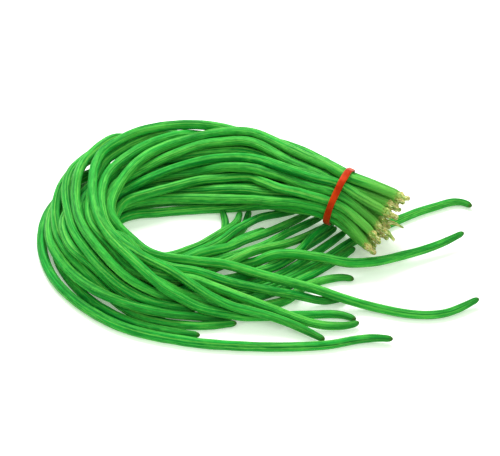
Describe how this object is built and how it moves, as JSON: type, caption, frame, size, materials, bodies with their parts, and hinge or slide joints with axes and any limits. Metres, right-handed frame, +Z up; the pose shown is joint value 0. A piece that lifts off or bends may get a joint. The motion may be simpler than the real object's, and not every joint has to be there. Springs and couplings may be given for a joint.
{
  "type": "yardlong bean bunch",
  "caption": "Bunch of long green bean pods held by a rubber band near the stem ends, laid down in a loop with the free ends fanned out.",
  "frame": {"origin": "centre of the bunch's box in plan, at the surface it lies on", "axes": "+Z up from the surface, +X along the bunch from the loop towards the stem ends and the free tips, +Y towards the banded side of the loop"},
  "size_m": [0.3128, 0.209, 0.0561],
  "materials": {
    "pod": "smooth living green pod, satin",
    "band": "flat red-orange rubber, satin"
  },
  "bodies": {
    "root": {"bean_01": "pod", "bean_02": "pod", "bean_03": "pod", "bean_04": "pod", "bean_05": "pod", "bean_06": "pod", "bean_07": "pod", "bean_08": "pod", "bean_09": "pod", "bean_10": "pod", "bean_11": "pod", "bean_12": "pod", "bean_13": "pod", "bean_14": "pod", "bean_15": "pod", "bean_16": "pod", "bean_17": "pod", "bean_18": "pod", "bean_19": "pod", "bean_20": "pod", "bean_21": "pod", "bean_22": "pod", "bean_23": "pod", "bean_24": "pod", "bean_25": "pod", "bean_26": "pod", "rubber_band": "band"}
  },
  "joints": []
}
